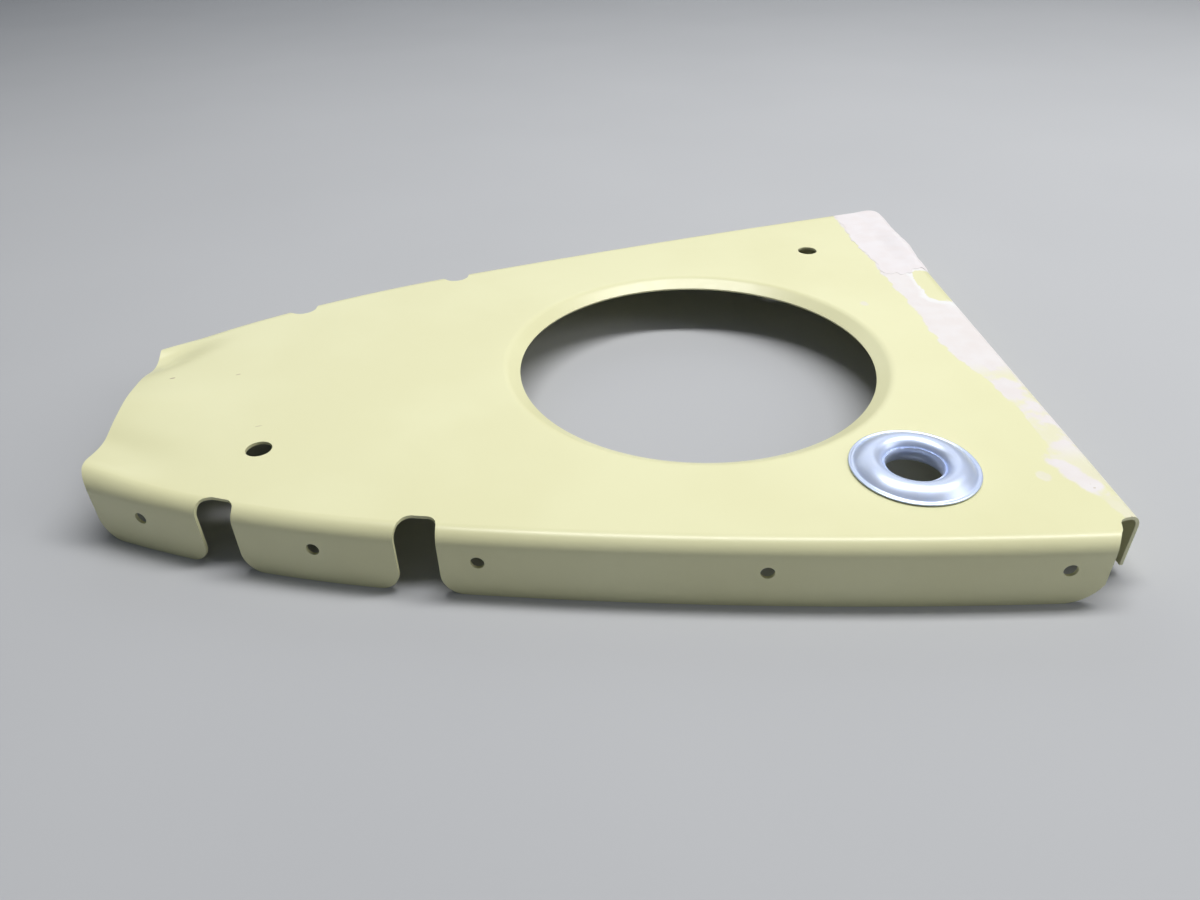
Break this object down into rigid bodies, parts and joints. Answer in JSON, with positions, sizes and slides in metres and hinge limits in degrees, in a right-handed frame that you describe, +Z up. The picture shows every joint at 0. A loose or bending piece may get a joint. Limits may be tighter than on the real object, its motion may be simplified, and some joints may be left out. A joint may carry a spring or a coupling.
{
  "type": "aircraft wing rib",
  "caption": "Pressed light-alloy nose rib with tabbed skin flanges, a spar flange, a lipped lightening hole, tooling holes and a set eyelet grommet in the web.",
  "frame": {"origin": "under the middle of the rib, on the plane of the skin flanges' free edges", "axes": "+X from the nose to the spar face, +Y from the lower skin to the upper skin, +Z up to the web"},
  "size_m": [0.1927, 0.1578, 0.0155],
  "materials": {
    "primed_sheet": "matt pale yellow-green primer",
    "washer_metal": "bright pressed aluminium",
    "eyelet_metal": "bright pressed aluminium"
  },
  "bodies": {
    "root": {"rib_sheet": "primed_sheet", "grommet_washer": "washer_metal", "grommet_eyelet": "eyelet_metal"}
  },
  "joints": []
}
